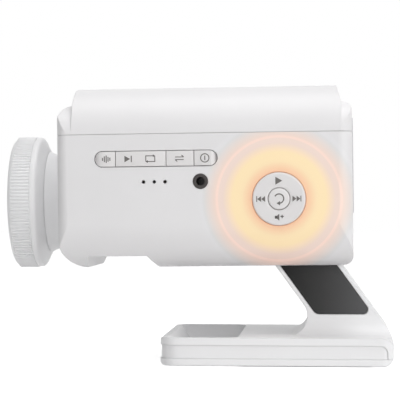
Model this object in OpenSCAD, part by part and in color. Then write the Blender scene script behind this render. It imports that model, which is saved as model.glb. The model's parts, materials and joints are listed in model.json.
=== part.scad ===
// Table-top planetarium projector: a projector head with a focus ring, keys, a round
// control pad and a light halo, tilting on a one-piece stand with a tray.
// Millimetres. +Z is up, the lens points along -X, the controls face -Y.
// The origin lies on the table under the middle of the whole object.

/* [Head] */
// Length of the head's casing, from lens end to rear end
head_len = 125; // [115:1:150]
// Depth of the head's casing
head_depth = 84; // [80:1:100]
// Height of the lower housing, from its underside to the part line
lower_h = 56.6; // [54:0.1:70]
// Height of the shoulders at both ends above the part line
shoulder_h = 13.2; // [11:0.1:16]
// Height of the raised top above the part line
hump_h = 20.4; // [18:0.1:24]
// Wall of the head's casing
wall = 2; // [1.6:0.1:2.6]
// Nose-down lean of the head as it stands
rest_lean = 0.72; // [0:0.02:2]

/* [Head edges] */
// Radius of the long lower edges
belly_r = 18; // [14:0.5:22]
// Radius of the lower edge at the lens end
nose_low_r = 12.5; // [6:0.5:14]
// Radius of the lower edge at the rear end
rear_low_r = 4.2; // [3:0.1:6]
// Radius of the upright edges at the lens end
nose_edge_r = 4.6; // [3.5:0.1:8]
// Radius of the upright edges at the rear end
rear_edge_r = 5.9; // [3.5:0.1:8]
// Radius of the shoulder's top edge at the lens end
nose_top_r = 7.5; // [4:0.5:9]
// Radius of the shoulder's top edge at the rear end
rear_top_r = 4.4; // [4:0.1:9]
// Setback of the raised top from the lens end
hump_front = 6.4; // [5:0.1:9]
// Setback of the raised top from the rear end
hump_back = 4.6; // [4.4:0.1:9]
// How much the rear end wall of the raised top leans in
hump_draft = 2; // [1:0.1:3]
// How much the front end wall of the raised top leans in
front_draft = 0.6; // [0.2:0.1:2]

/* [Underside notch] */
// Depth of the notch across the underside
notch_h = 5; // [4:0.1:6]
// Distance from the lens end to the notch
notch_start = 11; // [9:0.1:13]
// Width of the notch at the underside
notch_w = 31; // [29.4:0.1:32]
// Width of the flat roof of the notch
notch_roof = 25.2; // [24:0.1:26]

/* [Tilting arm and base] */
// Angle of the arm from upright
arm_slant = 36; // [33:0.1:38]
// Thickness of the arm
arm_t = 23.4; // [20:0.1:24.4]
// Width of the arm across the object
arm_w = 44; // [36:1:44]
// Height of the tilt axis above the table
hinge_z = 49.2; // [47:0.1:58]
// Height of the tilt axis above the head's underside
hinge_rise = 7.2; // [6.5:0.1:8]
// Distance of the tilt axis from the head's rear end
hinge_inset = 24.3; // [23:0.1:27]
// Distance of the tilt axis from the rear end of the base
hinge_setback = 41.4; // [40:0.1:44]
// Length of the base
base_len = 98.8; // [96:0.1:120]
// Depth of the base
base_depth = 86; // [82:1:100]
// Height of the base's top above the table
base_h = 12.1; // [11:0.1:14]
// Wall of the base
base_wall = 2.2; // [1.8:0.1:2.6]
// Depth of the tray in the base
tray_depth = 6.6; // [4.5:0.1:7]
// Length of the tray
tray_len = 30; // [24:0.5:33]
// Diameter of the hinge pin
pin_d = 5; // [4:0.1:5.2]

/* [Lens] */
// Height of the lens axis above the head's underside
lens_rise = 28.6; // [27:0.1:32]
// How far the focus ring reaches out of the head
lens_reach = 24; // [23:0.1:30]
// Diameter of the focus ring
ring_d = 57.9; // [56:0.1:62]
// Length of the focus ring's knurled rim
rim_len = 10.7; // [9:0.1:11.5]
// Number of knurl ribs round the focus ring
rib_count = 120; // [60:10:140]
// Diameter of the neck where it meets the head
neck_d = 41.4; // [40.5:0.1:44]
// Diameter of the objective lens
objective_d = 26; // [20:0.5:28]

/* [Keys] */
// Length of the key strip
strip_len = 51.7; // [48:0.1:56]
// Height of the key strip
strip_h = 6.35; // [5.5:0.05:7.5]
// Distance from the lens end to the key strip
strip_start = 16.5; // [15.5:0.1:18]
// Height of the key strip's centre above the underside
strip_rise = 46.2; // [44.6:0.1:47.6]
// Travel of a key
key_travel = 0.6; // [0.3:0.05:0.6]
// Swing of the rocker key each way
rocker_angle = 2; // [1:0.1:2.2]

/* [Control pad] */
// Diameter of the round control pad
pad_d = 22.3; // [20:0.1:23]
// Diameter of the button in its middle
button_d = 9; // [7:0.1:9.4]
// Distance from the rear end to the control pad's centre
pad_inset = 30.9; // [30:0.1:34]
// Swing of the control pad each way
pad_angle = 1.6; // [1:0.1:1.7]
// Travel of the middle button
button_travel = 0.5; // [0.3:0.05:0.5]

/* [Sockets] */
// Height of the sound holes and the audio socket above the underside
socket_rise = 36.4; // [34.6:0.1:37]
// Distance from the lens end to the audio socket
jack_start = 61.1; // [58:0.1:64]
// Diameter of the audio socket's bore
jack_bore_d = 3.6; // [3.5:0.05:3.7]
// Diameter of each sound hole
sound_hole_d = 1.5; // [1:0.1:2]
// Distance between the sound holes
sound_hole_pitch = 4.55; // [3.5:0.05:5]

/* [Star slide drive] */
// Gear module of the slide drive
gear_m = 0.8; // [0.7:0.05:0.85]
// Teeth on the slide carrier
carrier_teeth = 56; // [52:4:60]
// Teeth on the motor's pinion
pinion_teeth = 12; // [10:1:13]

/* [Clearances] */
// Radial clearance of a shaft or slide in its bore
running = 0.05; // [0.03:0.01:0.1]
// Gap round each key and button
key_gap = 0.25; // [0.22:0.01:0.35]
// Gap between the arm and the head's slot on each side
slot_gap = 1; // [0.8:0.1:1.4]
// Gap between parts that sit in a recess
seat_gap = 0.1; // [0.05:0.01:0.2]

/* [Hidden] */
$fn = 64;
WHITE = "#e4e3e4";
SOFT_WHITE = "#f0f0f1";
GREY = "#c9c9cb";
DARK = "#2f2f31";
GLOSS_DARK = "#37373a";
STEEL = "#9a9da1";
BRASS = "#b99b57";
BOARD = "#23623f";
GLASS = "#d7e6ee";
RUBBER = "#3a3a3b";
AMBER = "#f6cf8c";
BIG = 200;
CUT = 1;

// Places along the object; the foremost edge is the rim of the focus ring
ring_bevel = 3.1;
front_reach = (head_len - hinge_inset + lens_reach) * cos(rest_lean)
    + (lens_rise + ring_d / 2 - ring_bevel - hinge_rise) * sin(rest_lean);
rear_x = (hinge_setback + front_reach) / 2;
hinge_x = rear_x - hinge_setback;
base_x0 = rear_x - base_len;
head_x1 = hinge_x + hinge_inset;
head_x0 = head_x1 - head_len;
head_z0 = hinge_z - hinge_rise;
part_z = head_z0 + lower_h;
half_d = head_depth / 2;
face_y = -half_d;
inner_y = face_y + wall;
lens_z = head_z0 + lens_rise;

// Stand
barrel_r = arm_t / 2;
arm_half = arm_w / 2;
arm_dir = [sin(arm_slant), -cos(arm_slant)];
arm_out = [cos(arm_slant), sin(arm_slant)];
hinge_at = [hinge_x, hinge_z];
pin_r = pin_d / 2;
base_half = base_depth / 2;
floor_gap = 0.4;
seam_z = 3.3;
band_top = 8.9;
band_depth = 0.5;
band_end = 2.8;
band_end_r = 3.2;
base_corner_r = 8;
base_rear_r = 5.3;
base_low_r = 4.7;
blend_sink = 0.2;
flare_r = 10;
crook_r = 8.3;
heel_r = 14;
heel_lift = 0.05;
arm_root = 4;
cover_floor = 1.4;
roof_z = base_h - base_wall;
screw_x = [base_x0 + tray_len + 8, rear_x - 9.5];
screw_y = base_half - 5;
tray_x0 = base_x0 + 3.2;
tray_half = base_half - 3;
tray_z = base_h - tray_depth;
tray_wall = 1.6;
tray_lean = 4.4;
pad_strip_x = [base_x0 + 31.3, base_x0 + 91.3];
panel_t = 1.2;
panel_sink = 0.1;
panel_edge = 1.8;
panel_low = 21;
inlay_top = hinge_z - pin_r - 1.5;

// Height of the casing's inner wall over the belly, y out from the middle
belly_flat = half_d - belly_r;
groove = 0.2;
function belly_z(y) = head_z0 + belly_r - (y < belly_flat ? belly_r - wall
    : sqrt((belly_r - wall) * (belly_r - wall) - (y - belly_flat) * (y - belly_flat)));

// Slot in the head for the arm
slot_half = arm_half + slot_gap;
slot_x0 = hinge_x - barrel_r - 0.8;
slot_top = hinge_z + barrel_r + 0.8;
cheek_t = 2;
cheek_y = slot_half + wall;
clip_t = 0.8;
pin_end = cheek_y + cheek_t;
pin_head_r = pin_r + 1.3;
pin_head_t = 1.5;

// Lens
ring_r = ring_d / 2;
ring_x0 = head_x0 - lens_reach;
rim_x0 = ring_x0 + 1.7;
rim_x1 = rim_x0 + rim_len;
ring_back = rim_x1 + 3;
neck_r = neck_d / 2;
neck_front_r = neck_r + 1.6;
neck_x0 = ring_back + seat_gap;
waist_r = 9;
waist_at = 3.2;
barrel_tube_r = 19;
barrel_bore = 16.05;
cell_r = barrel_bore - running;
cell_x0 = ring_x0 + 7.5;
cell_len = 25;
spigot_r = 18;
barrel_in = 24;
lens_r = objective_d / 2;

// Keys and pad
strip_x = head_x0 + strip_start;
strip_z = head_z0 + strip_rise;
key_edges = [0, 8.75, 30.2, 42, strip_len];
key_front = face_y - 0.3;
key_back = inner_y + 1.1;
key_lip = 0.8;
rocker_x = strip_x + (key_edges[1] + key_edges[2]) / 2;
rib_r = 0.8;
dome_x = [strip_x + 5.2, rocker_x - 7, rocker_x + 7,
    strip_x + (key_edges[2] + key_edges[3]) / 2, strip_x + strip_len - 5.4];
board_y = inner_y + 3.5;
board_t = 1.6;
pad_x = head_x1 - pad_inset;
pad_z = lens_z;
pad_r = pad_d / 2;
button_r = button_d / 2;
pad_front = face_y - 0.8;
pad_back = inner_y + 1.1;
pivot_y = inner_y + 2.8;
halo_y = inner_y + 4.4;
halo_in = pad_r + 1.75;
halo_out = pad_r + 5.15;
post_reach = 13.5;
post_r = 2;

// Sockets
socket_z = head_z0 + socket_rise;
jack_x = head_x0 + jack_start;
jack_r = 3.2;
jack_len = 14;
mic_x = jack_x - 19.5;

// Optics and drive
notch_x = head_x0 + notch_start;
notch_lead = 1.2;
crest_r = 1.2;
chassis_x = head_x0 + 50;
chassis_t = 2;
carrier_t = 3;
carrier_r = gear_m * carrier_teeth / 2;
pinion_r = gear_m * pinion_teeth / 2;
pinion_z = lens_z + carrier_r + pinion_r;
// Turn of the pinion that sets a gap of it at a tooth of the carrier
pinion_phase = 180 / pinion_teeth;
carrier_x = chassis_x - 1.5 - carrier_t;
hub_r = 17;
slide_r = 15;
lamp_x = chassis_x + chassis_t;
lamp_len = 14;
lamp_r = 14;
sink_x = lamp_x + lamp_len + 1.6;
sink_len = 16;
motor_r = 6;
column_r = 4.5;
// Screw columns: place along and across, and the height of their lower end
columns = [[head_x0 + 20, 25, head_z0 + notch_h], [head_x1 - 20, slot_half - 4, slot_top]];
tip_z = part_z + 4;
screw_head_z = part_z - 10;
panel_z0 = slot_top + wall + 0.6;
panel_z1 = part_z + 6;
panel_half = half_d - 8;
speaker_z = (panel_z0 + panel_z1) / 2;
speaker_r = panel_half - 16;
usb_y = 8 - panel_half;

// ---------- helpers ----------

// Puts a head piece at the head's standing lean about the tilt axis
module in_head() {
    translate([hinge_x, 0, hinge_z]) rotate([0, -rest_lean, 0])
        translate([-hinge_x, 0, -hinge_z]) children();
}

// What is left of a corner outside its round: the corner lies at p, s points outwards
module corner_bit(p, s, r) {
    translate([p[0] - s[0] * r, p[1] - s[1] * r]) difference() {
        translate([s[0] > 0 ? 0 : -r - CUT, s[1] > 0 ? 0 : -r - CUT]) square(r + CUT);
        circle(r);
    }
}

// Rectangle from a to b with its own radius at each corner: low left, low right,
// high right, high left; 0 leaves a sharp corner
module corner_rect(a, b, r) {
    difference() {
        translate(a) square([b[0] - a[0], b[1] - a[1]]);
        if (r[0] > 0) corner_bit(a, [-1, -1], r[0]);
        if (r[1] > 0) corner_bit([b[0], a[1]], [1, -1], r[1]);
        if (r[2] > 0) corner_bit(b, [1, 1], r[2]);
        if (r[3] > 0) corner_bit([a[0], b[1]], [-1, 1], r[3]);
    }
}

// The sliver between a corner at p, whose sides run along u and v, and a round of
// radius r that touches both sides; it reaches CUT past the sides
module skew_bit(p, u, v, r) {
    half = acos(u * v) / 2;
    middle = (u + v) / norm(u + v);
    run = r / tan(half);
    centre = p + middle * r / sin(half);
    difference() {
        polygon([p - middle * CUT / sin(half), p + run * u - (centre - p - run * u) * CUT / r,
            centre, p + run * v - (centre - p - run * v) * CUT / r]);
        translate(centre) circle(r);
    }
}

// Outline drawn in X and Z, extruded along Y from y0 to y1
module along_y(y0, y1) {
    translate([0, y1, 0]) rotate([90, 0, 0]) linear_extrude(y1 - y0) children();
}

// Outline drawn in Y and Z, extruded along X from x0 to x1
module along_x(x0, x1) {
    translate([x0, 0, 0]) rotate([90, 0, 90]) linear_extrude(x1 - x0) children();
}

// Outline drawn in X and Y, extruded along Z from z0 to z1
module along_z(z0, z1) {
    translate([0, 0, z0]) linear_extrude(z1 - z0) children();
}

// Round piece about an axis along Y, from y0 to y1
module disc_y(x, z, r, y0, y1) {
    translate([x, y0, z]) rotate([-90, 0, 0]) cylinder(r = r, h = y1 - y0);
}

// Round piece about an axis along X, from x0 to x1
module disc_x(x0, x1, y, z, r) {
    translate([x0, y, z]) rotate([0, 90, 0]) cylinder(r = r, h = x1 - x0);
}

// Profile of radius against distance along X, turned about the lens axis
module turned(points) {
    translate([0, 0, lens_z]) rotate([0, 90, 0])
        rotate_extrude() polygon([for (p = points) [p[1], p[0]]]);
}

module tube_x(x0, x1, r_out, r_in) {
    turned([[x0, r_in], [x1, r_in], [x1, r_out], [x0, r_out]]);
}

module box(a, b) {
    translate(a) cube([b[0] - a[0], b[1] - a[1], b[2] - a[2]]);
}

module both_sides() {
    children();
    mirror([0, 1, 0]) children();
}

// ---------- casing forms ----------

// Outer form of the lower housing, drawn in by t, up to height z1
module lower_form(t, z1) {
    intersection() {
        along_x(head_x0 - CUT, head_x1 + CUT)
            corner_rect([-half_d + t, head_z0 + t], [half_d - t, z1],
                [belly_r - t, belly_r - t, 0, 0]);
        along_y(-half_d - CUT, half_d + CUT)
            corner_rect([head_x0 + t, head_z0 + t], [head_x1 - t, z1 + CUT],
                [nose_low_r - t, rear_low_r - t, 0, 0]);
        plan_form(t, head_z0 - CUT, z1 + 2 * CUT);
    }
}

// Upright walls of the head, drawn in by t
module plan_form(t, z0, z1) {
    along_z(z0, z1)
        corner_rect([head_x0 + t, -half_d + t], [head_x1 - t, half_d - t],
            [nose_edge_r - t, rear_edge_r - t, rear_edge_r - t, nose_edge_r - t]);
}

// Shoulders and raised top above the part line, drawn in by t, from height z0
module upper_form(t, z0) {
    intersection() {
        along_x(head_x0 - CUT, head_x1 + CUT)
            corner_rect([-half_d + t, z0], [half_d - t, part_z + shoulder_h - t],
                [0, 0, shoulder_h - t, shoulder_h - t]);
        along_y(-half_d - CUT, half_d + CUT)
            corner_rect([head_x0 + t, z0 - CUT], [head_x1 - t, part_z + shoulder_h - t],
                [0, 0, rear_top_r - t, nose_top_r - t]);
        plan_form(t, z0 - CUT, part_z + hump_h);
    }
    intersection() {
        along_x(head_x0 - CUT, head_x1 + CUT)
            corner_rect([-half_d + t, z0], [half_d - t, part_z + hump_h - t],
                [0, 0, hump_h - t, hump_h - t]);
        along_y(-half_d - CUT, half_d + CUT) polygon([
            [head_x0 + hump_front + t, z0 - CUT],
            [head_x1 - hump_back - t, z0 - CUT],
            [head_x1 - hump_back - t, part_z + shoulder_h],
            [head_x1 - hump_back - hump_draft - t, part_z + hump_h + CUT],
            [head_x0 + hump_front + front_draft + crest_r + t, part_z + hump_h + CUT],
            [head_x0 + hump_front + front_draft + crest_r / 3 + t, part_z + hump_h - crest_r / 3],
            [head_x0 + hump_front + front_draft + t, part_z + hump_h - crest_r],
            [head_x0 + hump_front + t, part_z + shoulder_h]]);
    }
}

// Notch across the underside, its walls moved out by t
module notch_form(t) {
    along_y(-half_d - CUT, half_d + CUT) polygon([
        [notch_x - t - CUT, head_z0 - CUT],
        [notch_x - t, head_z0],
        [notch_x - t + notch_lead, head_z0 + notch_h + t],
        [notch_x + t + notch_lead + notch_roof, head_z0 + notch_h + t],
        [notch_x + t + notch_w, head_z0],
        [notch_x + t + notch_w + CUT, head_z0 - CUT]]);
}

// Slot that the arm swings in, its walls moved out by t; it opens at the rear end
module slot_form(t) {
    box([slot_x0 - t, -slot_half - t, head_z0 - CUT],
        [head_x1 + CUT, slot_half + t, slot_top + t]);
}

// Opening for the key strip, grown by g
module strip_outline(g) {
    r = strip_h / 2;
    translate([strip_x + r, strip_z]) circle(r + g);
    translate([strip_x + strip_len - r, strip_z]) circle(r + g);
    translate([strip_x + r, strip_z - r - g]) square([strip_len - 2 * r, 2 * (r + g)]);
}

module post_places() {
    for (dx = [-1, 1], dz = [-1, 1]) translate([pad_x + dx * post_reach, 0, pad_z + dz * post_reach])
        children();
}

// ---------- head casing ----------

module lower_housing() color(WHITE) in_head() difference() {
    union() {
        difference() {
            lower_form(0, part_z);
            difference() {
                lower_form(wall, part_z + CUT);
                notch_form(wall);
                slot_form(wall);
            }
        }
        // Posts that carry the two boards behind the control face
        post_places() disc_y(0, 0, post_r, face_y + wall / 2, halo_y - seat_gap);
        for (x = [strip_x + 0.5, strip_x + strip_len + 3.5])
            disc_y(x, strip_z + 6.2, 1.4, face_y + wall / 2, board_y - seat_gap);
        // Screw columns in the four corners
        intersection() {
            lower_form(wall / 2, part_z);
            both_sides() for (c = columns) translate(c) cylinder(r = column_r, h = part_z - c[2]);
        }
    }
    notch_form(0);
    slot_form(0);
    both_sides() for (c = columns) translate([c[0], c[1], c[2] - CUT]) {
        cylinder(r = 1.7, h = lower_h + 2 * CUT);
        cylinder(r = 3.1, h = screw_head_z - c[2] + CUT);
    }
    disc_x(head_x0 - CUT, head_x0 + wall + CUT, 0, lens_z, spigot_r + running);
    along_y(face_y - CUT, inner_y + CUT) strip_outline(key_gap);
    disc_y(pad_x, pad_z, pad_r + key_gap, face_y - CUT, inner_y + CUT);
    disc_y(jack_x, socket_z, jack_r + running, face_y - CUT, inner_y + CUT);
    for (i = [-1 : 1])
        disc_y(mic_x + i * sound_hole_pitch, socket_z, sound_hole_d / 2, face_y - CUT, inner_y + CUT);
    rear_opening(seat_gap);
    disc_y(hinge_x, hinge_z, pin_r + running, -cheek_y - CUT, cheek_y + CUT);
}

module top_cover() color(SOFT_WHITE) in_head() difference() {
    union() {
        difference() {
            upper_form(0, part_z);
            upper_form(wall, part_z - CUT);
        }
        intersection() {
            upper_form(wall / 2, part_z);
            both_sides() for (c = columns) translate([c[0], c[1], part_z])
                cylinder(r = column_r - 1, h = hump_h);
        }
    }
    both_sides() for (c = columns) translate([c[0], c[1], part_z - CUT])
        cylinder(r = 1.5, h = tip_z - part_z + 1.5);
    // Fine groove along the part line
    difference() {
        box([head_x0 - CUT, -half_d - CUT, part_z - CUT], [head_x1 + CUT, half_d + CUT, part_z + groove]);
        plan_form(groove, part_z - 2 * CUT, part_z + CUT);
    }
    rear_opening(seat_gap);
}

// Opening in the rear end, grown by g, cut through the end wall
module rear_opening(g) {
    along_x(head_x1 - wall - CUT, head_x1 + CUT)
        corner_rect([-panel_half - g, panel_z0 - g], [panel_half + g, panel_z1 + g],
            [4, 4, 4, 4]);
}

module rear_panel() color(GREY) in_head() difference() {
    along_x(head_x1 - wall, head_x1 + 0.4)
        corner_rect([-panel_half, panel_z0], [panel_half, panel_z1], [4, 4, 4, 4]);
    for (i = [-4 : 4]) along_x(head_x1 - wall - CUT, head_x1 + CUT) {
        slot_len = 2 * (12 - abs(i) * 1.4);
        translate([i * 3.6 - 0.9, speaker_z - slot_len / 2]) square([1.8, slot_len]);
    }
    along_x(head_x1 - wall - CUT, head_x1 + CUT)
        translate([usb_y - 4.6, speaker_z - 1.75]) square([9.2, 3.5]);
}

module housing_screws() color(STEEL) in_head() both_sides() for (c = columns)
    translate([c[0], c[1], screw_head_z - 1.8]) {
        cylinder(r = 2.8, h = 1.8);
        cylinder(r = 1.45, h = tip_z - screw_head_z + 1.8);
    }

// ---------- stand ----------

// Point on the arm's upper (+1) or lower (-1) face, in from it by m, at height z
function arm_face(side, m, z) =
    let (e = side * (barrel_r - m),
         s = (hinge_z + e * arm_out[1] - z) / cos(arm_slant))
    [hinge_x + e * arm_out[0] + s * arm_dir[0], z];

// Corner where the arm's upper face would meet the base's rear end
heel = [rear_x, hinge_z + barrel_r * arm_out[1] - (rear_x - hinge_x - barrel_r * arm_out[0]) / tan(arm_slant)];

// Side view of the arm: barrel, slanted bar and the crook above the base
module arm_outline() {
    crook = arm_face(-1, 0, base_h - blend_sink);
    translate(hinge_at) circle(barrel_r);
    polygon([hinge_at + barrel_r * arm_out, hinge_at - barrel_r * arm_out, crook,
        [crook[0], band_top - arm_root], [rear_x, band_top - arm_root], heel]);
    skew_bit(crook, -arm_dir, [-1, 0], crook_r);
}

module arm_body() {
    difference() {
        intersection() {
            along_y(-base_half, base_half) arm_outline();
            along_x(base_x0, rear_x + CUT) arm_end_view();
        }
        along_y(-base_half - CUT, base_half + CUT)
            skew_bit(heel + heel_lift * (arm_dir + [0, 1]), -arm_dir, [0, -1], heel_r);
    }
}

// End view of the arm: upright sides that flare out onto the base
module arm_end_view() {
    foot = base_h - 3 * blend_sink;
    difference() {
        translate([-arm_half - flare_r, band_top - arm_root - CUT]) square([arm_w + 2 * flare_r, base_h + hinge_z]);
        corner_rect([arm_half, foot], [base_depth, BIG], [flare_r, 0, 0, 0]);
        corner_rect([-base_depth, foot], [-arm_half, BIG], [0, flare_r, 0, 0]);
    }
}

// Plan of the base, drawn in by t
module base_plan(t) {
    corner_rect([base_x0 + t, -base_half + t], [rear_x - t, base_half - t],
        [base_corner_r - t, base_rear_r - t, base_rear_r - t, base_corner_r - t]);
}

// Side view of the whole base
module base_side() {
    corner_rect([base_x0, floor_gap], [rear_x, base_h], [2.2, base_low_r, base_rear_r, 1.4]);
}

// Side view of the tray from a to b, its floor at z: both end walls lean outwards
module tray_side(a, b, z) {
    reach = (base_h - z) + 2 * CUT;
    out = tray_lean * 2 * CUT / (base_h - z);
    polygon([[a + tray_lean, z], [b - tray_lean, z], [b + out, z + reach], [a - out, z + reach]]);
}

module tray_form(t) {
    intersection() {
        along_z(tray_z - t, base_h + CUT)
            corner_rect([tray_x0 - t, -tray_half - t], [tray_x0 + tray_len + t, tray_half + t],
                [6 + t, 6 + t, 6 + t, 6 + t]);
        along_y(-base_half, base_half) tray_side(tray_x0 - t, tray_x0 + tray_len + t, tray_z - t);
        along_x(tray_x0 - 2 * t, tray_x0 + tray_len + 2 * t) tray_side(-tray_half - t, tray_half + t, tray_z - t);
    }
}

// Outline of the dark inlay on the arm's side, grown by g
module inlay_outline(g) {
    m = panel_edge - g;
    low_left = arm_face(-1, m, panel_low - g);
    low_right = arm_face(1, m, panel_low - g);
    top = inlay_top + g;
    difference() {
        polygon([low_left, low_right, arm_face(1, m, top), arm_face(-1, m, top)]);
        skew_bit(low_left, -arm_dir, [1, 0], 3.4);
        skew_bit(low_right, -arm_dir, [-1, 0], 2.2);
    }
}

module stand_frame() color(SOFT_WHITE) difference() {
    union() {
        intersection() {
            along_z(seam_z, base_h + CUT) base_plan(0);
            along_y(-base_half - CUT, base_half + CUT) base_side();
        }
        arm_body();
    }
    // Shallow band between the two beads, ending short of the heel
    difference() {
        along_y(-base_half - CUT, base_half + CUT)
            corner_rect([base_x0 - CUT, seam_z - CUT], [rear_x - band_end, band_top],
                [0, 0, band_end_r, 0]);
        along_z(seam_z - 2 * CUT, band_top + CUT) base_plan(band_depth);
    }
    tray_form(0);
    // Hollow below, round the tray and the screw bosses
    difference() {
        along_z(seam_z - CUT, roof_z) base_plan(base_wall);
        tray_form(tray_wall);
        both_sides() for (x = screw_x) translate([x, screw_y, 0]) cylinder(r = 3.4, h = base_h);
    }
    both_sides() for (x = screw_x) translate([x, screw_y, 0]) cylinder(r = 1.4, h = roof_z - 0.5);
    // Seats of the dark inlays, and the cores behind them
    both_sides() {
        along_y(arm_half - panel_t - panel_sink, arm_half + CUT) inlay_outline(seat_gap);
        along_y(3, arm_half - panel_t) inlay_core();
    }
    disc_y(hinge_x, hinge_z, pin_r + running, -arm_half - CUT, arm_half + CUT);
}

// Core of the arm behind an inlay: a slanted pocket with solid walls round it
module inlay_core() {
    m = panel_edge + 1.6;
    polygon([arm_face(-1, m, panel_low + 2), arm_face(1, m, panel_low + 2),
        arm_face(1, m, hinge_z - barrel_r), arm_face(-1, m, hinge_z - barrel_r)]);
}

module arm_panel(side) {
    y0 = arm_half - panel_t - panel_sink;
    y1 = arm_half - panel_sink;
    along_y(side > 0 ? y0 : -y1, side > 0 ? y1 : -y0) inlay_outline(0);
}

module arm_panel_front() color(GLOSS_DARK) arm_panel(-1);

module arm_panel_back() color(GLOSS_DARK) arm_panel(1);

module base_cover() color(WHITE) difference() {
    union() {
        difference() {
            intersection() {
                along_z(floor_gap - CUT, seam_z) base_plan(0);
                along_y(-base_half - CUT, base_half + CUT) base_side();
            }
            along_z(floor_gap + cover_floor, seam_z + CUT) base_plan(base_wall);
        }
        both_sides() for (x = screw_x) translate([x, screw_y, floor_gap])
            cylinder(r = 3.4, h = seam_z - floor_gap);
    }
    both_sides() for (x = screw_x) translate([x, screw_y, 0]) {
        cylinder(r = 1.6, h = base_h);
        cylinder(r = 2.9, h = 2.3);
    }
    foot_strip(seat_gap, 0);
    foot_discs(seat_gap);
}

// Long rubber pad under the rear of the base
module foot_strip(g, lift) {
    along_z(-g, floor_gap * 2 + lift)
        corner_rect([pad_strip_x[0] - g, -base_half + 2.5 - g], [pad_strip_x[1] + g, base_half - 2.5 + g],
            [5, 5, 5, 5]);
}

module foot_discs(g) {
    both_sides() translate([base_x0 + 12, base_half - 13, -g]) cylinder(r = 4 + g, h = 1 + g);
}

module rear_foot_pad() color(RUBBER) foot_strip(0, 0);

module front_feet() color(RUBBER) foot_discs(0);

module ballast_plate() color(STEEL)
    box([screw_x[0] - 1, -screw_y + 5, floor_gap + cover_floor], [rear_x - 5, screw_y - 5, roof_z - 1.6]);

module base_screws() color(STEEL) both_sides() for (x = screw_x)
    translate([x, screw_y, 0.95]) {
        cylinder(r = 2.7, h = 1.35);
        cylinder(r = 1.35, h = roof_z - 2.4);
    }

// ---------- hinge ----------

module hinge_pin() color(STEEL) {
    disc_y(hinge_x, hinge_z, pin_r, -pin_end - pin_head_t, pin_end + clip_t + 0.7);
    disc_y(hinge_x, hinge_z, pin_head_r, -pin_end - pin_head_t, -pin_end);
}

module hinge_clip() color(STEEL) difference() {
    disc_y(hinge_x, hinge_z, pin_head_r, pin_end, pin_end + clip_t);
    disc_y(hinge_x, hinge_z, pin_r, pin_end - CUT, pin_end + clip_t + CUT);
}

module hinge_washers() color(BRASS) both_sides() difference() {
    disc_y(hinge_x, hinge_z, pin_r + 0.8, arm_half + running, slot_half - running);
    disc_y(hinge_x, hinge_z, pin_r + running, arm_half, slot_half);
}

module hinge_cheeks() color(STEEL) in_head() both_sides() difference() {
    along_y(cheek_y, cheek_y + cheek_t)
        corner_rect([hinge_x - 9, belly_z(pin_end) + seat_gap], [hinge_x + 9, slot_top], [3, 3, 3, 3]);
    disc_y(hinge_x, hinge_z, pin_r, cheek_y - CUT, cheek_y + cheek_t + CUT);
}

// ---------- lens ----------

module lens_barrel() color(WHITE) in_head() difference() {
    union() {
        tube_x(ring_x0 + 5.5, neck_x0 + 1, barrel_tube_r, barrel_bore);
        tube_x(neck_x0, head_x0, neck_front_r, barrel_bore);
        tube_x(head_x0 - 1, head_x0 + barrel_in, spigot_r, barrel_bore);
    }
    // Waist of the neck
    translate([0, 0, lens_z]) rotate([0, 90, 0]) rotate_extrude()
        translate([waist_r + neck_r, head_x0 - waist_at]) circle(waist_r);
}

module barrel_nut() color(DARK) in_head()
    tube_x(head_x0 + wall + 0.5, head_x0 + wall + 3.5, spigot_r + 1.8, spigot_r + running);

// Outline of the ribbed grip: a rib is a small tooth on the round rim
module knurl_outline() {
    rib = 0.45;
    step = 360 / rib_count;
    polygon([for (i = [0 : rib_count - 1], k = [0, 1])
        let (a = (i + k / 2) * step, r = ring_r - rib * k) [r * cos(a), r * sin(a)]]);
}

module focus_ring() color(WHITE) in_head() difference() {
    union() {
        turned([
            [ring_back, barrel_tube_r + running], [ring_back, neck_front_r],
            [rim_x1 + 0.8, ring_r - 2.6], [rim_x1, ring_r - 0.9], [rim_x1 - 0.8, ring_r - 0.3],
            [rim_x1 - 2.6, ring_r - 0.3], [rim_x1 - 2.6, ring_r - 0.7], [rim_x0, ring_r - 0.7],
            [ring_x0 + 0.5, ring_r - 1.4], [ring_x0, ring_r - ring_bevel], [ring_x0, ring_r - 6],
            [ring_x0 + 5.3, barrel_bore + 0.6], [ring_x0 + 5.3, barrel_tube_r + running]]);
        translate([rim_x0, 0, lens_z]) rotate([0, 90, 0]) linear_extrude(rim_len - 2.6)
            difference() {
                knurl_outline();
                circle(ring_r - 3);
            }
    }
}

module lens_cell() color(DARK) in_head()
    turned([
        [cell_x0, lens_r + 0.2], [cell_x0 + 1, lens_r + 0.2], [cell_x0 + 1, lens_r + running],
        [cell_x0 + 7.7, lens_r + running], [cell_x0 + 7.7, lens_r - 1.5], [cell_x0 + cell_len - 5, lens_r - 3],
        [cell_x0 + cell_len - 5, lens_r - 2 + running], [cell_x0 + cell_len, lens_r - 2 + running],
        [cell_x0 + cell_len, cell_r], [cell_x0, cell_r]]);

// Lens with two round faces: middle at x, edge radius r, face radius and edge thickness
module lens_body(x, r, face_r, edge_t) {
    reach = asin(r / face_r);
    dome = face_r * (1 - cos(reach));
    front = [for (i = [0 : 8]) let (a = reach * i / 8)
        [x - edge_t / 2 - dome + face_r * (1 - cos(a)), face_r * sin(a)]];
    back = [for (i = [8 : -1 : 0]) let (a = reach * i / 8)
        [x + edge_t / 2 + dome - face_r * (1 - cos(a)), face_r * sin(a)]];
    turned(concat(front, back));
}

module objective_lens() color(GLASS) in_head()
    lens_body(cell_x0 + 5.2, lens_r, lens_r * 2, 3);

module lens_retainer() color(DARK) in_head()
    tube_x(cell_x0 + 1.1, cell_x0 + 2.9, lens_r, lens_r - 1.4);

module rear_lens() color(GLASS) in_head()
    lens_body(cell_x0 + cell_len - 2.6, lens_r - 2, lens_r * 3, 3);

// ---------- optics and drive ----------

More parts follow.
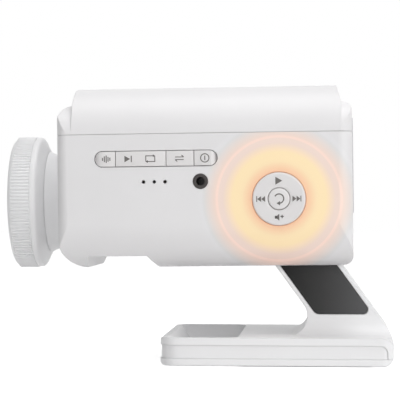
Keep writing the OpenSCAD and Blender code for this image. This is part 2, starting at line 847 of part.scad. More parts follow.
module optics_chassis() color(DARK) in_head() difference() {
    box([chassis_x, -22, head_z0 + wall], [chassis_x + chassis_t, 22, pinion_z + motor_r + 2]);
    disc_x(chassis_x - CUT, lamp_x + CUT, 0, lens_z, hub_r + running);
    disc_x(chassis_x - CUT, lamp_x + CUT, 0, pinion_z, 2.2);
}

// Gear outline: n teeth of module m with slack between mating flanks
module gear_outline(n, m) {
    r = n * m / 2;
    step = 360 / n;
    polygon([for (i = [0 : n - 1], k = [0 : 3])
        let (a = step * i + step * [-0.30, -0.10, 0.10, 0.30][k],
             q = [r - 1.15 * m, r + 0.85 * m, r + 0.85 * m, r - 1.15 * m][k])
        [q * cos(a), q * sin(a)]]);
}

module slide_carrier() color(SOFT_WHITE) in_head() difference() {
    union() {
        translate([carrier_x, 0, lens_z]) rotate([0, 90, 0]) linear_extrude(carrier_t)
            gear_outline(carrier_teeth, gear_m);
        disc_x(carrier_x, chassis_x + chassis_t, 0, lens_z, hub_r);
    }
    disc_x(carrier_x - CUT, carrier_x + 1.5, 0, lens_z, slide_r + running);
    disc_x(carrier_x - CUT, lamp_x + CUT, 0, lens_z, slide_r - 1.5);
}

module star_slide() color(DARK) in_head()
    disc_x(carrier_x + 0.5, carrier_x + 1.5, 0, lens_z, slide_r);

module motor_pinion() color(BRASS) in_head() {
    translate([carrier_x, 0, pinion_z]) rotate([0, 90, 0])
        rotate(pinion_phase) linear_extrude(carrier_t) gear_outline(pinion_teeth, gear_m);
    disc_x(carrier_x, lamp_x + 5, 0, pinion_z, 1);
}

module drive_motor() color(STEEL) in_head() difference() {
    union() {
        disc_x(lamp_x, lamp_x + 22, 0, pinion_z, motor_r);
        disc_x(chassis_x, lamp_x, 0, pinion_z, 2.15);
    }
    disc_x(chassis_x - CUT, lamp_x + 6, 0, pinion_z, 1 + running);
}

module lamp_tube() color(DARK) in_head() {
    tube_x(lamp_x + seat_gap, lamp_x + lamp_len, lamp_r, lamp_r - 1.8);
    tube_x(lamp_x + seat_gap, lamp_x + 1.6, hub_r + 3, lamp_r - 1.8);
}

module condenser_lens() color(GLASS) in_head()
    lens_body(lamp_x + 6, lamp_r - 1.8 - running, 22, 2);

module lamp_board() color(BOARD) in_head() {
    disc_x(lamp_x + lamp_len, sink_x, 0, lens_z, lamp_r);
    box([lamp_x + lamp_len - 1, -2, lens_z - 2], [lamp_x + lamp_len + 0.5, 2, lens_z + 2]);
}

module heat_sink() color(STEEL) in_head() difference() {
    box([sink_x, -15, lens_z - 15], [sink_x + sink_len, 15, lens_z + 15]);
    for (i = [0 : 4])
        box([sink_x + 4, -12.6 + i * 5.4, lens_z - 16], [sink_x + sink_len + CUT, -9 + i * 5.4, lens_z + 16]);
}

module battery_pack() color("#4d6f9c") in_head()
    box([lamp_x + 2, -21, head_z0 + wall], [slot_x0 - wall - 1, 21, head_z0 + wall + 9.5]);

module speaker() color(DARK) in_head() translate([head_x1 - wall - 0.1, 0, speaker_z]) rotate([0, -90, 0])
    rotate_extrude() polygon([[0, 5], [6, 5], [speaker_r - 3.5, 1], [speaker_r - 1, 0], [speaker_r + 1, 0],
        [speaker_r + 1, 1.6], [speaker_r - 2, 3], [11, 9], [11, 15], [0, 15]]);

module usb_socket() color(STEEL) in_head() difference() {
    box([head_x1 - wall - 6, usb_y - 4.5, speaker_z - 1.65],
        [head_x1 + 0.1, usb_y + 4.5, speaker_z + 1.65]);
    box([head_x1 - wall - 4, usb_y - 4.15, speaker_z - 1.3],
        [head_x1 + CUT, usb_y + 4.15, speaker_z + 1.3]);
}

// ---------- keys ----------

// One key cap of the strip, number i, with its lips behind the wall
module key_cap(i) {
    x0 = strip_x + key_edges[i] + (i > 0 ? key_gap / 2 : 0);
    x1 = strip_x + key_edges[i + 1] - (i < 3 ? key_gap / 2 : 0);
    along_y(key_front, key_back) intersection() {
        strip_outline(0);
        translate([x0, strip_z - strip_h]) square([x1 - x0, 2 * strip_h]);
    }
    r = strip_h / 2;
    lip0 = i > 0 ? x0 : x0 + r;
    lip1 = i < 3 ? x1 : x1 - r;
    box([lip0, inner_y + 0.45, strip_z - r - key_lip], [lip1, key_back, strip_z + r + key_lip]);
}

module source_key() color(SOFT_WHITE) in_head() key_cap(0);

module track_rocker() color(SOFT_WHITE) in_head() {
    key_cap(1);
    rocker_rib();
}

// Round rib behind the rocker, on which it swings
module rocker_rib() {
    translate([rocker_x, key_back, strip_z - 2.5]) cylinder(r = rib_r, h = 5);
}

module mode_key() color(SOFT_WHITE) in_head() key_cap(2);

module power_key() color(SOFT_WHITE) in_head() key_cap(3);

// Rubber sheet with a dome behind each key and a saddle behind the rocker
module keypad_mat() color(GREY) in_head() difference() {
    union() {
        box([strip_x + 2.4, board_y - 1, strip_z - 4], [strip_x + strip_len - 2.4, board_y, strip_z + 4]);
        for (x = dome_x) disc_y(x, strip_z, 1.8, key_back + key_travel + 0.1, board_y);
        box([rocker_x - 2, key_back + 0.55, strip_z - 2.5], [rocker_x + 2, board_y, strip_z + 2.5]);
    }
    translate([rocker_x, key_back, strip_z - 3]) cylinder(r = rib_r + running, h = 6);
}

module main_board() color(BOARD) in_head() {
    box([head_x0 + 14.5, board_y, strip_z - 5.5], [head_x0 + 73, board_y + board_t, strip_z + 8]);
    box([head_x0 + 30, board_y + board_t, strip_z - 4], [head_x0 + 38, board_y + board_t + 1.2, strip_z + 4]);
    box([head_x0 + 48, board_y + board_t, strip_z - 3], [head_x0 + 53, board_y + board_t + 1, strip_z + 2]);
}

// ---------- control pad ----------

module control_pad() color(SOFT_WHITE) in_head() difference() {
    union() {
        disc_y(pad_x, pad_z, pad_r, pad_front, pad_back);
        disc_y(pad_x, pad_z, pad_r + 1, inner_y + 0.6, pad_back);
        // Lugs that hold the gimbal's two side pivots
        for (s = [-1, 1])
            box([pad_x + s * 9.5 - 0.75, pad_back - 0.5, pad_z - 1.3],
                [pad_x + s * 9.5 + 0.75, pivot_y + 0.9, pad_z + 1.3]);
    }
    disc_y(pad_x, pad_z, button_r + key_gap, pad_front - CUT, pad_back + CUT);
    disc_x(pad_x - 11, pad_x + 11, pivot_y, pad_z, 0.5 + running);
}

module pad_gimbal() color(STEEL) in_head() {
    difference() {
        disc_y(pad_x, pad_z, 8.4, pivot_y - 0.5, pivot_y + 0.5);
        disc_y(pad_x, pad_z, 6.4, pivot_y - CUT, pivot_y + CUT);
    }
    for (s = [-1, 1]) {
        disc_x(pad_x + s * 9.2 - 1, pad_x + s * 9.2 + 1, pivot_y, pad_z, 0.5);
        translate([pad_x, pivot_y, pad_z + s * 9.3 - 1.1]) cylinder(r = 0.5, h = 2.2);
    }
}

module play_button() color(SOFT_WHITE) in_head() {
    disc_y(pad_x, pad_z, button_r, pad_front - 0.2, inner_y + 2.1);
    disc_y(pad_x, pad_z, button_r + 1, inner_y + 1.5, inner_y + 2.1);
    disc_y(pad_x, pad_z, 1.5, inner_y + 2, inner_y + 2.5);
}

module halo_diffuser() color(AMBER) in_head() difference() {
    disc_y(pad_x, pad_z, halo_out, inner_y + 1.7, halo_y - 0.9);
    disc_y(pad_x, pad_z, halo_in, inner_y, halo_y);
}

module halo_board() color(BOARD) in_head() difference() {
    union() {
        box([pad_x - 17, halo_y, pad_z - 16.5], [pad_x + 17, halo_y + board_t, pad_z + 16.5]);
        for (a = [0 : 30 : 330])
            translate([pad_x + 14.6 * cos(a), halo_y - 0.4, pad_z + 14.6 * sin(a)])
                rotate([0, -a, 0]) cube([2, 0.82, 2], center = true);
        // Two posts that hold the gimbal's upper and lower pivots, and the button's switch
        for (s = [-1, 1])
            box([pad_x - 1.3, pivot_y - 0.9, pad_z + s * 9.7 - 0.7],
                [pad_x + 1.3, halo_y + 0.1, pad_z + s * 9.7 + 0.7]);
        disc_y(pad_x, pad_z, 1.7, inner_y + 2.5 + button_travel + 0.1, halo_y + 0.1);
    }
    translate([pad_x, pivot_y, pad_z - 11]) cylinder(r = 0.5 + running, h = 22);
}

// ---------- sockets ----------

module audio_socket() color(DARK) in_head() difference() {
    union() {
        disc_y(jack_x, socket_z, jack_r, face_y - 0.1, inner_y + 1);
        disc_y(jack_x, socket_z, jack_r - 0.3, inner_y, face_y + jack_len);
    }
    disc_y(jack_x, socket_z, jack_bore_d / 2, face_y - CUT, face_y + jack_len - 1.5);
}

module microphone() color(STEEL) in_head()
    disc_y(mic_x, socket_z, 3, inner_y, inner_y + 2.4);

stand_frame();
base_cover();
ballast_plate();
rear_foot_pad();
front_feet();
arm_panel_front();
arm_panel_back();
base_screws();
hinge_pin();
hinge_washers();
hinge_cheeks();
hinge_clip();
lower_housing();
top_cover();
rear_panel();
housing_screws();
lens_barrel();
barrel_nut();
focus_ring();
lens_cell();
objective_lens();
rear_lens();
lens_retainer();
optics_chassis();
slide_carrier();
star_slide();
drive_motor();
motor_pinion();
lamp_tube();
condenser_lens();
lamp_board();
heat_sink();
main_board();
battery_pack();
speaker();
usb_socket();
source_key();
track_rocker();
mode_key();
power_key();
keypad_mat();
pad_gimbal();
control_pad();
play_button();
halo_diffuser();
halo_board();
audio_socket();
microphone();
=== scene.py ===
"""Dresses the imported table-top star projector: moulded plastic, keys and their marks, focus
ring, glowing halo, glossy inlays, lens glass and feet, on a plain pale stage."""

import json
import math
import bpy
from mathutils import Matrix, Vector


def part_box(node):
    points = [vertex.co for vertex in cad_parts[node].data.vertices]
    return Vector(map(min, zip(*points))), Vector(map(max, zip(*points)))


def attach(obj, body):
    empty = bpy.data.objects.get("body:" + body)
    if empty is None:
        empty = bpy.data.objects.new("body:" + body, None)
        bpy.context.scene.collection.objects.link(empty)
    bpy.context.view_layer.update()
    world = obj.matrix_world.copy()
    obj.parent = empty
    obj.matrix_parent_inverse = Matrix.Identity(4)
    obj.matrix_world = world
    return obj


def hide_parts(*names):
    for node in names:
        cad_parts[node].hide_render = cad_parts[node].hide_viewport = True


bl_info = {
    "name": "Star Projector Dressing",
    "version": (1, 0, 0),
    "blender": (4, 5, 0),
    "location": "View3D > Sidebar > Projector",
    "description": "Builds the visible pieces and finishes of a table-top star projector",
    "category": "Object",
}

import bpy
from mathutils import Matrix, Vector

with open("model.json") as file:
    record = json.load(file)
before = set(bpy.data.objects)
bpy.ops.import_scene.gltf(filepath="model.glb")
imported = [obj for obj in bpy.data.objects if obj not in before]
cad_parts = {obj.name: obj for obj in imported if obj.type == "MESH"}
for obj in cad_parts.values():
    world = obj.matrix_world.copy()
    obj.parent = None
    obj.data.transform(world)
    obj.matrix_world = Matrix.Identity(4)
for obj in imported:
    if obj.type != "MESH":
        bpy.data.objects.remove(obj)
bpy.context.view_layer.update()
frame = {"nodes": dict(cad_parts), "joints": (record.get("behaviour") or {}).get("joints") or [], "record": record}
NODES = frame["nodes"]
JOINTS = {j["name"]: j for j in frame["joints"]}
MM = 0.001


def joint_fact(name, *keys):
    """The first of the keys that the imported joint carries, as a vector."""
    return next(Vector(JOINTS[name][key]) for key in keys if JOINTS[name].get(key) is not None)


HINGE = joint_fact("head_tilt", "pos_m", "pos")
LENS_AXIS = joint_fact("focus_turn", "axis").normalized()
LEAN = math.atan2(LENS_AXIS.z, LENS_AXIS.x)
# Takes a piece modelled on a level head to where the head stands, leaning about its hinge
LEVEL_TO_HEAD = (
    Matrix.Translation(HINGE) @ Matrix.Rotation(-LEAN, 4, "Y") @ Matrix.Translation(-HINGE)
)


def middle(node):
    """Middle of a head node's box, taken back to the level head."""
    low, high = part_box(node)
    return LEVEL_TO_HEAD.inverted() @ ((low + high) / 2)


PAD = middle("play_button")
JACK = middle("audio_socket")
KEY_ROW = middle("track_rocker")
RING = middle("focus_ring")
FACE_Y = -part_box("top_cover")[1].y
# How far behind the face the halo's light still reaches the wall
LIT_DEPTH = 15 * MM


# ---------- sizes and colours ----------


def length(name, about, value):
    """A length that shows in the panel, its first value in millimetres."""
    return bpy.props.FloatProperty(
        name=name, description=about, default=value * MM, unit="LENGTH", precision=5
    )


def number(name, about, value):
    """A plain number that shows in the panel."""
    return bpy.props.FloatProperty(name=name, description=about, default=value, precision=4)


def colour(name, about, value):
    """An sRGB hex colour that shows in the panel."""
    return bpy.props.StringProperty(name=name, description=about, default=value)


class CasingSettings(bpy.types.PropertyGroup):
    shell: colour("Shell", "sRGB hex of the head's moulded casing", "#e9e8e9")
    stand: colour("Stand", "sRGB hex of the stand's moulding", "#f1f1f2")
    # Painted light: the ring and its neck are painted a shade lighter than the casing, to brighten them where the
    # head shades them
    ring: colour("Ring", "sRGB hex of the focus ring and its neck", "#f4f4f5")
    keys: colour("Keys", "sRGB hex of the keys and the control pad", "#e5e3e3")
    ink: colour("Ink", "sRGB hex of the printed marks", "#6b6865")
    inlay: colour("Inlay", "sRGB hex of the dark inlay's upper end", "#0d0d0d")
    # Painted reflection: the inlay's middle and foot are painted greyer than its dark upper end
    inlay_mid_painted_reflection: colour("Inlay middle", "sRGB hex of the dark inlay half way down", "#363636")
    inlay_low_painted_reflection: colour("Inlay foot", "sRGB hex of the dark inlay's lower end", "#535354")
    soft_edge: length("Soft edge", "Radius that a moulded edge is eased by", 0.5)


class RingSettings(bpy.types.PropertyGroup):
    radius: length("Radius", "Radius over the ribs of the focus ring", 28.95)
    ribs: bpy.props.IntProperty(name="Ribs", description="Ribs round the grip", default=120)
    rib_reach: length("Rib depth", "How far a rib stands proud of the grip", 0.55)
    rib_len: length("Rib length", "Length of a rib along the lens axis", 8.05)
    rib_start: length("Rib start", "How far behind the ring's front the ribs start", 1.72)
    long: length("Length", "Length of the ring along the lens axis", 15.4)
    hood: length("Hood depth", "Depth of the hooded front behind the rim", 5.3)


class KeySettings(bpy.types.PropertyGroup):
    height: length("Height", "Height of the key strip", 6.35)
    gap: length("Gap", "Gap between neighbouring keys", 0.25)
    edges: bpy.props.FloatVectorProperty(
        name="Edges", description="Where the four keys begin and end along the strip, in mm",
        size=5, default=(0, 8.75, 30.2, 42.0, 51.7),
    )
    proud: length("Proud", "How far a key stands out of the face", 0.3)
    ease: length("Ease", "Radius of a key's front edge", 0.22)


class PadSettings(bpy.types.PropertyGroup):
    radius: length("Radius", "Radius of the round control pad", 11.15)
    button: length("Button", "Radius of the button in its middle", 4.5)
    proud: length("Proud", "How far the pad stands out of the face", 0.8)
    glow_reach: length("Glow reach", "Radius at which the halo has faded out", 34.0)
    wall_near: colour("Wall by the pad", "sRGB hex of the lit wall beside the pad", "#dcbf9f")
    wall_mid: colour("Wall further out", "sRGB hex of the lit wall at its brightest", "#d6d5b3")
    wall_far: colour("Wall's lit end", "sRGB hex of the lit wall near the halo's end", "#d6d2c8")
    light_near: colour("Light by the pad", "sRGB hex of the light beside the pad", "#8a4d38")
    light_peak: colour("Brightest light", "sRGB hex of the light where it is brightest", "#a2714a")
    light_far: colour("Light's end", "sRGB hex of the light near the halo's end", "#875a51")
    light_rim: colour("Rim of light", "sRGB hex of the thin bright ring round the halo", "#9a665a")


class StageSettings(bpy.types.PropertyGroup):
    focal: number("Focal length", "Camera lens in millimetres", 162.0)
    camera_rise: number("Camera rise", "Upward shift of the picture, as a share of it", 0.0025)
    camera_at: bpy.props.FloatVectorProperty(
        name="Camera place", description="Where the camera stands", size=3,
        default=(0.05595, -0.79707, 0.0696), subtype="TRANSLATION", precision=5,
    )
    camera_turn: bpy.props.FloatProperty(
        name="Camera turn", description="Turn of the camera about the upright",
        default=math.radians(4.1), subtype="ANGLE",
    )
    ambient: number("Ambient", "Strength of the light all round the object", 0.42)
    ambient_lean: number("Ambient lean", "Share gained on the right and lost on the left", 0.8)
    floor_lift: number("Floor lift", "Light added to the floor where the camera sees it", 0.72)


# ---------- making ----------


def settle():
    """Leaves edit mode and selects nothing, so that an operator acts on the new piece only."""
    if bpy.context.object and bpy.context.object.mode != "OBJECT":
        bpy.ops.object.mode_set(mode="OBJECT")
    bpy.ops.object.select_all(action="DESELECT")
    bpy.context.scene.tool_settings.mesh_select_mode = (True, False, False)


def pick(obj, domain, test):
    """Selects in edit mode the edges of obj whose two ends, or the faces whose middle and
    normal, pass the test."""
    bpy.ops.object.mode_set(mode="OBJECT")
    mesh = obj.data
    for group in (mesh.vertices, mesh.edges, mesh.polygons):
        for item in group:
            item.select = False
    points = [v.co for v in mesh.vertices]
    if domain == "EDGE":
        for e in mesh.edges:
            e.select = bool(test(points[e.vertices[0]], points[e.vertices[1]]))
    else:
        for f in mesh.polygons:
            f.select = bool(test(f.center, f.normal))
    bpy.ops.object.mode_set(mode="EDIT")
    bpy.ops.mesh.select_mode(type=domain)


def fixed(obj, placing=None):
    """Applies the object's own place, then an extra placing, to its mesh."""
    settle()
    obj.select_set(True)
    bpy.context.view_layer.objects.active = obj
    bpy.ops.object.transform_apply(location=True, rotation=True, scale=True)
    if placing is not None:
        obj.data.transform(placing)
    return obj


def joined(parts, name):
    settle()
    for p in parts:
        p.select_set(True)
    bpy.context.view_layer.objects.active = parts[0]
    if len(parts) > 1:
        bpy.ops.object.join()
    whole = bpy.context.object
    whole.name = whole.data.name = name
    return whole


def finished(obj, body, slot, material, *nodes, smooth=35):
    """Shades a piece, gives it its finish and hands it to the frame."""
    settle()
    obj.select_set(True)
    bpy.context.view_layer.objects.active = obj
    bpy.ops.object.mode_set(mode="EDIT")
    bpy.ops.mesh.select_all(action="SELECT")
    bpy.ops.mesh.normals_make_consistent(inside=False)
    bpy.ops.object.mode_set(mode="OBJECT")
    bpy.ops.object.shade_smooth_by_angle(angle=math.radians(smooth))
    obj.data.materials.clear()
    obj.data.materials.append(material)
    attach(obj, body)
    if nodes:
        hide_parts(*nodes)
    return obj


def turned(name, sides, stations):
    """A closed turned form: rings of (height, radius) drawn up one after another from a
    circle, with its last ring sewn to its first."""
    settle()
    height, radius = stations[0]
    bpy.ops.mesh.primitive_circle_add(vertices=sides, radius=radius, location=(0, 0, height))
    obj = bpy.context.object
    bpy.ops.object.transform_apply(location=True)
    bpy.ops.object.mode_set(mode="EDIT")
    bpy.ops.mesh.select_all(action="SELECT")
    for next_height, next_radius in stations[1:] + stations[:1]:
        bpy.ops.mesh.extrude_region_move(
            TRANSFORM_OT_translate={"value": (0, 0, next_height - height)}
        )
        grow = next_radius / radius
        bpy.ops.transform.resize(value=(grow, grow, 1), center_override=(0, 0, next_height))
        height, radius = next_height, next_radius
    bpy.ops.mesh.select_all(action="SELECT")
    bpy.ops.mesh.remove_doubles(threshold=0.00001)
    bpy.ops.object.mode_set(mode="OBJECT")
    obj.name = obj.data.name = name
    return obj


def facing_front(obj, at):
    """Turns a piece modelled upwards so that its top faces the controls' side, at a place."""
    to_front = Matrix.Rotation(math.radians(90), 4, "X")
    return fixed(obj, LEVEL_TO_HEAD @ Matrix.Translation(at) @ to_front)


def along_lens(obj, at):
    """Turns a piece modelled upwards so that its top points out of the lens, at a place."""
    to_lens = Matrix.Rotation(math.radians(-90), 4, "Y")
    return fixed(obj, LEVEL_TO_HEAD @ Matrix.Translation(at) @ to_lens)


# ---------- finishes ----------


def linear(code):
    """sRGB hex as linear RGBA."""
    parts = [int(code[i : i + 2], 16) / 255 for i in (1, 3, 5)]
    return (*[c / 12.92 if c <= 0.04045 else ((c + 0.055) / 1.055) ** 2.4 for c in parts], 1.0)


def add(tree, kind, inputs=None, **settings):
    """Adds a node with its settings, its constants and its links."""
    made = tree.nodes.new(kind)
    for key, value in settings.items():
        setattr(made, key, value)
    for key, value in (inputs or {}).items():
        if isinstance(value, bpy.types.NodeSocket):
            tree.links.new(value, made.inputs[key])
        else:
            made.inputs[key].default_value = value
    return made


def ramp(tree, factor, stops):
    """A colour ramp between (position, colour) stops."""
    made = add(tree, "ShaderNodeValToRGB", {"Fac": factor})
    elements = made.color_ramp.elements
    while len(elements) < len(stops):
        elements.new(1.0)
    for element, (position, value) in zip(elements, stops):
        element.position, element.color = position, value
    return made.outputs["Color"]


def begin(name):
    material = bpy.data.materials.new(name)
    material.use_nodes = True
    tree = material.node_tree
    shader = tree.nodes["Principled BSDF"]
    here = add(tree, "ShaderNodeTexCoord").outputs["Object"]
    return material, tree, shader, here


def shaded(code, k):
    """A colour k times as light."""
    return (*[min(1.0, c * k) for c in linear(code)[:3]], 1.0)


def moulded(
    name, code, roughness=0.42, grain=0.45, depth=0.012, ease=0.5, mottle=0.02, coat=0.0
):
    """Injection-moulded plastic: an even colour that drifts a little with the melt's flow, a
    fine spark-eroded grain from the tool, and edges eased by the tool's radius."""
    material, tree, shader, here = begin(name)
    drift = add(tree, "ShaderNodeTexNoise", {"Vector": here, "Scale": 28.0, "Detail": 2.0})
    dull = shaded(code, 1 - mottle)
    tone = ramp(tree, drift.outputs["Fac"], [(0.3, dull), (0.7, linear(code))])
    tree.links.new(tone, shader.inputs["Base Color"])
    grit = add(
        tree, "ShaderNodeTexNoise",
        {"Vector": here, "Scale": 1 / (grain * MM), "Detail": 3.0, "Roughness": 0.6},
    )
    rub = add(
        tree, "ShaderNodeMapRange",
        {"Value": grit.outputs["Fac"], "To Min": roughness - 0.04, "To Max": roughness + 0.05},
    )
    tree.links.new(rub.outputs["Result"], shader.inputs["Roughness"])
    edge = add(tree, "ShaderNodeBevel", {"Radius": ease * MM}, samples=6)
    bump = add(
        tree, "ShaderNodeBump",
        {"Height": grit.outputs["Fac"], "Strength": 0.35, "Distance": depth * MM,
         "Normal": edge.outputs["Normal"]},
    )
    tree.links.new(bump.outputs["Normal"], shader.inputs["Normal"])
    shader.inputs["IOR"].default_value = 1.5
    shader.inputs["Coat Weight"].default_value = coat
    shader.inputs["Coat Roughness"].default_value = 0.2
    return material


def lit_housing(settings, pad):
    """The lower housing's plastic over the halo: warm light soaks through the wall round the
    pad, amber beside it, cream further out and gone at the reach."""
    material = moulded("satin_abs_over_halo", settings.shell)
    tree = material.node_tree
    shader = tree.nodes["Principled BSDF"]
    here = tree.nodes["Texture Coordinate"].outputs["Object"]
    centre = LEVEL_TO_HEAD @ PAD
    off_centre = (-centre.x, 0.0, -centre.z)
    around = add(tree, "ShaderNodeVectorMath", {0: here, 1: off_centre}, operation="ADD")
    flat = add(
        tree, "ShaderNodeVectorMath", {0: around.outputs[0], 1: (1.0, 0.0, 1.0)},
        operation="MULTIPLY",
    )
    reach = add(tree, "ShaderNodeVectorMath", {0: flat.outputs[0]}, operation="LENGTH")
    share = add(
        tree, "ShaderNodeMath", {0: reach.outputs["Value"], 1: pad.glow_reach}, operation="DIVIDE"
    )
    dark = (0.0, 0.0, 0.0, 1.0)
    wall = ramp(tree, share.outputs[0], [
        (0.33, linear(pad.wall_near)), (0.46, linear(pad.wall_mid)),
        (0.58, linear(pad.wall_mid)), (0.70, linear(pad.wall_far)),
        (0.80, linear(pad.wall_far)), (0.96, linear(settings.shell))])
    light = ramp(tree, share.outputs[0], [
        (0.33, linear(pad.light_near)), (0.50, linear(pad.light_peak)),
        (0.57, linear(pad.light_peak)), (0.69, linear(pad.light_far)),
        (0.748, linear(pad.light_far)), (0.762, linear(pad.light_rim)),
        (0.775, linear(pad.light_rim)), (0.795, linear(pad.light_far)), (0.93, dark)])
    depth = add(tree, "ShaderNodeSeparateXYZ", {"Vector": here})
    near = add(
        tree, "ShaderNodeMath", {0: depth.outputs["Y"], 1: FACE_Y + LIT_DEPTH},
        operation="LESS_THAN",
    )
    within = add(tree, "ShaderNodeMath", {0: share.outputs[0], 1: 1.0}, operation="LESS_THAN")
    lit = add(
        tree, "ShaderNodeMath", {0: near.outputs[0], 1: within.outputs[0]}, operation="MULTIPLY"
    )
    own = shader.inputs["Base Color"].links[0].from_socket
    tone = add(tree, "ShaderNodeMixRGB", {"Fac": lit.outputs[0], "Color1": own, "Color2": wall})
    tree.links.new(tone.outputs[0], shader.inputs["Base Color"])
    tree.links.new(light, shader.inputs["Emission Color"])
    tree.links.new(lit.outputs[0], shader.inputs["Emission Strength"])
    return material


def polished_inlay_painted_reflection(settings):
    """Dark acrylic, polished: nearly mirror-smooth, darkest at its upper end, and painted greyer where it nears
    the base as painted reflection of the pale base and floor, with the faintest cloudiness in the polish."""
    material, tree, shader, here = begin("polished_dark_acrylic_painted_reflection")
    low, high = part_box("arm_panel_front")
    spot = add(tree, "ShaderNodeSeparateXYZ", {"Vector": here})
    along = add(
        tree, "ShaderNodeMapRange",
        {"Value": spot.outputs["X"], "From Min": low.x + 4 * MM, "From Max": high.x - 3 * MM},
    )
    # Painted reflection: the colour runs from the dark upper end to grey near the base
    tone = ramp(tree, along.outputs["Result"], [
        (0.0, linear(settings.inlay)), (0.5, linear(settings.inlay_mid_painted_reflection)),
        (1.0, linear(settings.inlay_low_painted_reflection))])
    tree.links.new(tone, shader.inputs["Base Color"])
    haze = add(tree, "ShaderNodeTexNoise", {"Vector": here, "Scale": 160.0, "Detail": 4.0})
    rub = add(
        tree, "ShaderNodeMapRange",
        {"Value": haze.outputs["Fac"], "To Min": 0.10, "To Max": 0.18},
    )
    tree.links.new(rub.outputs["Result"], shader.inputs["Roughness"])
    edge = add(tree, "ShaderNodeBevel", {"Radius": 0.2 * MM}, samples=4)
    tree.links.new(edge.outputs["Normal"], shader.inputs["Normal"])
    shader.inputs["Specular IOR Level"].default_value = 0.2
    return material


def worked_metal(name, code, roughness, brush=(400.0, 400.0, 30.0)):
    """Bare metal with fine drawn or turned lines that vary its gloss."""
    material, tree, shader, here = begin(name)
    drawn = add(tree, "ShaderNodeMapping", {"Vector": here, "Scale": brush})
    lines = add(
        tree, "ShaderNodeTexNoise", {"Vector": drawn.outputs[0], "Scale": 6.0, "Detail": 3.0}
    )
    tone = ramp(tree, lines.outputs["Fac"], [(0.3, shaded(code, 0.86)), (0.7, linear(code))])
    tree.links.new(tone, shader.inputs["Base Color"])
    rub = add(
        tree, "ShaderNodeMapRange",
        {"Value": lines.outputs["Fac"], "To Min": roughness - 0.06, "To Max": roughness + 0.08},
    )
    tree.links.new(rub.outputs["Result"], shader.inputs["Roughness"])
    shader.inputs["Metallic"].default_value = 1.0
    return material


def coated_glass():
    """Polished optical glass with a faint cool anti-reflection coating."""
    material, tree, shader, here = begin("coated_optical_glass")
    sheen = add(tree, "ShaderNodeTexNoise", {"Vector": here, "Scale": 40.0, "Detail": 1.0})
    tone = ramp(tree, sheen.outputs["Fac"], [(0.3, linear("#dfe8f4")), (0.7, linear("#e9e4f6"))])
    tree.links.new(tone, shader.inputs["Base Color"])
    shader.inputs["Transmission Weight"].default_value = 1.0
    shader.inputs["Roughness"].default_value = 0.02
    shader.inputs["IOR"].default_value = 1.52
    shader.inputs["Coat Weight"].default_value = 0.6
    shader.inputs["Coat Tint"].default_value = linear("#b9c4f0")
    return material


def rubber(name, code):
    """Moulded silicone rubber: matt, with a fine eggshell texture."""
    material = moulded(name, code, roughness=0.72, grain=0.6, depth=0.03, ease=0.3, mottle=0.05)
    material.node_tree.nodes["Principled BSDF"].inputs["Sheen Weight"].default_value = 0.15
    return material


def circuit_board():
    """Green solder resist over copper: darker resist, lighter lines where tracks run below."""
    material, tree, shader, here = begin("solder_resist")
    cells = add(
        tree, "ShaderNodeTexBrick",
        {"Vector": here, "Color1": linear("#1f5a3a"), "Color2": linear("#235f3e"),
         "Mortar": linear("#3b8058"), "Scale": 300.0, "Mortar Size": 0.04},
    )
    tree.links.new(cells.outputs["Color"], shader.inputs["Base Color"])
    shader.inputs["Roughness"].default_value = 0.32
    return material


def star_film():
    """Black photographic film with clear pin points scattered over it as stars."""
    material, tree, shader, here = begin("star_field_film")
    points = add(tree, "ShaderNodeTexVoronoi", {"Vector": here, "Scale": 900.0})
    tone = ramp(
        tree, points.outputs["Distance"], [(0.10, linear("#f4f2e6")), (0.16, linear("#0d0d12"))]
    )
    tree.links.new(tone, shader.inputs["Base Color"])
    shader.inputs["Roughness"].default_value = 0.2
    return material


def amber_guide():
    """Frosted light guide, lit amber from its edge."""
    material, tree, shader, here = begin("frosted_light_guide")
    frost = add(tree, "ShaderNodeTexNoise", {"Vector": here, "Scale": 500.0, "Detail": 3.0})
    tone = ramp(tree, frost.outputs["Fac"], [(0.3, linear("#f0bd77")), (0.7, linear("#f8d59c"))])
    tree.links.new(tone, shader.inputs["Base Color"])
    tree.links.new(tone, shader.inputs["Emission Color"])
    shader.inputs["Emission Strength"].default_value = 0.8
    shader.inputs["Roughness"].default_value = 0.5
    return material


FINISH = {}


